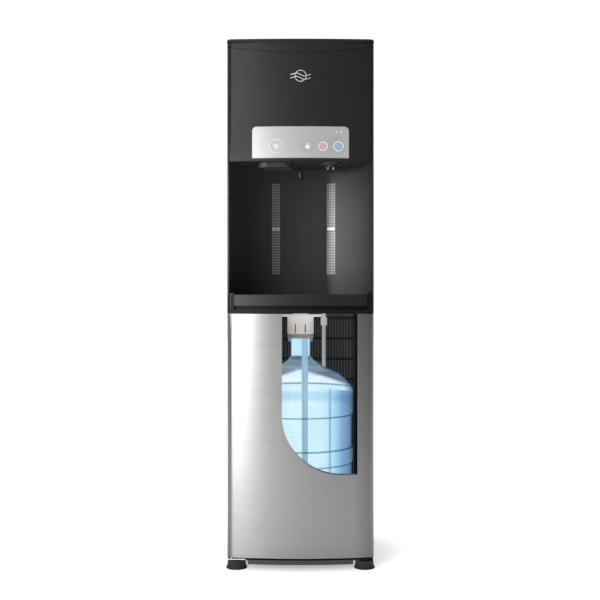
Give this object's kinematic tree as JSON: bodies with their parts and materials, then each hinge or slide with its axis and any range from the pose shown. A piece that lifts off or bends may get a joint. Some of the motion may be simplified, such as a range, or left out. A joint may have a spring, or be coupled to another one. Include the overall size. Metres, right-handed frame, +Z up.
{
  "type": "water dispenser",
  "caption": "Floor-standing water dispenser with ice maker, bowed black head, concave alcove, drip tray and a brushed steel lower door with a viewing cut-out over the bottle.",
  "frame": {"origin": "centre of the bounding box, on the floor", "axes": "+Z up, front faces -Y, +X to the right of someone facing it"},
  "size_m": [0.3584, 0.36, 1.266],
  "materials": {
    "black_steel": "semi-gloss black powder coat",
    "grey_steel": "grey coated steel",
    "zinc": "bright zinc plate",
    "rubber_black": "moulded black rubber",
    "rubber_grey": "dark grey flexible gasket",
    "grey_plastic": "dark grey moulded plastic",
    "bottle_blue": "clear light-blue bottle plastic",
    "white_plastic": "white moulded plastic",
    "band_grey": "grey-brown snap band",
    "tube_grey": "grey food-grade tube",
    "hose_white": "white silicone hose",
    "black_satin": "satin black moulding",
    "black_gloss": "gloss black moulding",
    "black_matte": "matt black moulding",
    "stainless": "horizontally brushed stainless steel",
    "button_steel": "brushed button caps",
    "grid_steel": "brushed steel grid",
    "board_green": "printed circuit board",
    "lens": "smoked indicator lenses",
    "emblem_silver": "plain plated emblem",
    "chrome": "polished steel spouts",
    "lamp_diffuser": "smoked lamp window",
    "strip_diffuser": "dotted light-guide strip",
    "tank_steel": "stainless tank",
    "copper": "copper refrigerant tube",
    "compressor_black": "black enamel",
    "aluminium_cast": "cast aluminium",
    "paddle_plastic": "white moulded paddle",
    "tray_plastic": "white moulded ice mould"
  },
  "bodies": {
    "cabinet": {"base_frame": "black_steel", "foot_pads": "rubber_black", "foot_studs": "zinc", "left_side_panel": "black_steel", "right_side_panel": "black_steel", "rear_panel": "black_steel", "rear_frame": "black_steel", "condenser_coil": "black_steel", "condenser_wires": "grey_steel", "compartment_liner": "grey_plastic", "mid_deck": "grey_steel", "bottle": "bottle_blue", "probe_collar": "white_plastic", "collar_seal": "band_grey", "dip_tube": "tube_grey", "hose_fitting": "white_plastic", "suction_line": "hose_white", "bottle_hose": "hose_white", "riser_hose": "rubber_black", "water_pump": "white_plastic", "alcove_liner": "black_satin", "ledge_housing": "black_satin", "front_fascia": "black_satin", "header_panel": "black_satin", "top_cover": "black_satin", "control_plate": "stainless", "control_board": "board_green", "indicator_lenses": "lens", "emblem": "emblem_silver", "ice_chute": "black_matte", "nozzle_flange": "black_matte", "hot_nozzle": "chrome", "cold_nozzle": "chrome", "night_light": "lamp_diffuser", "ice_light_strip": "strip_diffuser", "water_light_strip": "strip_diffuser", "cold_tank": "tank_steel", "evaporator_coil": "copper", "hot_tank": "tank_steel", "compressor": "compressor_black", "upper_deck": "grey_steel", "ice_bin": "white_plastic", "auger_motor": "black_matte", "freezing_head": "aluminium_cast", "power_gland": "black_matte", "hinge_brackets": "zinc", "panel_screws": "zinc"},
    "door": {"door_skin": "stainless", "door_liner": "grey_plastic", "door_gasket": "rubber_grey", "door_bushes": "white_plastic"},
    "tray": {"drip_tray": "black_gloss"},
    "grid": {"drip_grid": "grid_steel"},
    "ice_key": {"ice_button": "button_steel"},
    "lock_key": {"lock_button": "button_steel"},
    "hot_key": {"hot_button": "button_steel"},
    "cold_key": {"cold_button": "button_steel"},
    "flap": {"chute_flap": "black_matte"},
    "paddle": {"ice_paddle": "paddle_plastic"},
    "ice_mould": {"ice_tray": "tray_plastic"}
  },
  "joints": [
    {"name": "door_hinge", "type": "hinge", "parent": "cabinet", "child": "door", "pos_m": [-0.166, -0.1465, 0.32], "axis": [0, 0, -1], "range_deg": [0, 110]},
    {"name": "drip_tray_slide", "type": "slide", "parent": "cabinet", "child": "tray", "axis": [0, -1, 0], "range_m": [0, 0.15]},
    {"name": "drip_grid_lift", "type": "slide", "parent": "tray", "child": "grid", "axis": [0, 0, 1], "range_m": [0, 0.03]},
    {"name": "ice_button_press", "type": "slide", "parent": "cabinet", "child": "ice_key", "axis": [0.0632, 0.998, 0], "range_m": [0, 0.0012], "stiffness_N_per_m": 900, "springref_m": -0.0008},
    {"name": "lock_button_press", "type": "slide", "parent": "cabinet", "child": "lock_key", "axis": [-0.0181, 0.9998, 0], "range_m": [0, 0.0012], "stiffness_N_per_m": 900, "springref_m": -0.0008},
    {"name": "hot_button_press", "type": "slide", "parent": "cabinet", "child": "hot_key", "axis": [-0.0586, 0.9983, 0], "range_m": [0, 0.0012], "stiffness_N_per_m": 900, "springref_m": -0.0008},
    {"name": "cold_button_press", "type": "slide", "parent": "cabinet", "child": "cold_key", "axis": [-0.0991, 0.9951, 0], "range_m": [0, 0.0012], "stiffness_N_per_m": 900, "springref_m": -0.0008},
    {"name": "chute_flap_hinge", "type": "hinge", "parent": "cabinet", "child": "flap", "pos_m": [-0.061, -0.095, 0.973], "axis": [1, 0, 0], "range_deg": [0, 70], "stiffness_Nm_per_rad": 0.02, "springref_deg": -17.19},
    {"name": "ice_paddle_spin", "type": "hinge", "parent": "cabinet", "child": "paddle", "pos_m": [-0.061, 0.04, 1.036], "axis": [0, 1, 0], "continuous": true},
    {"name": "ice_tray_tilt", "type": "hinge", "parent": "cabinet", "child": "ice_mould", "pos_m": [-0.06, 0.039, 1.199], "axis": [1, 0, 0], "range_deg": [0, 85]}
  ]
}
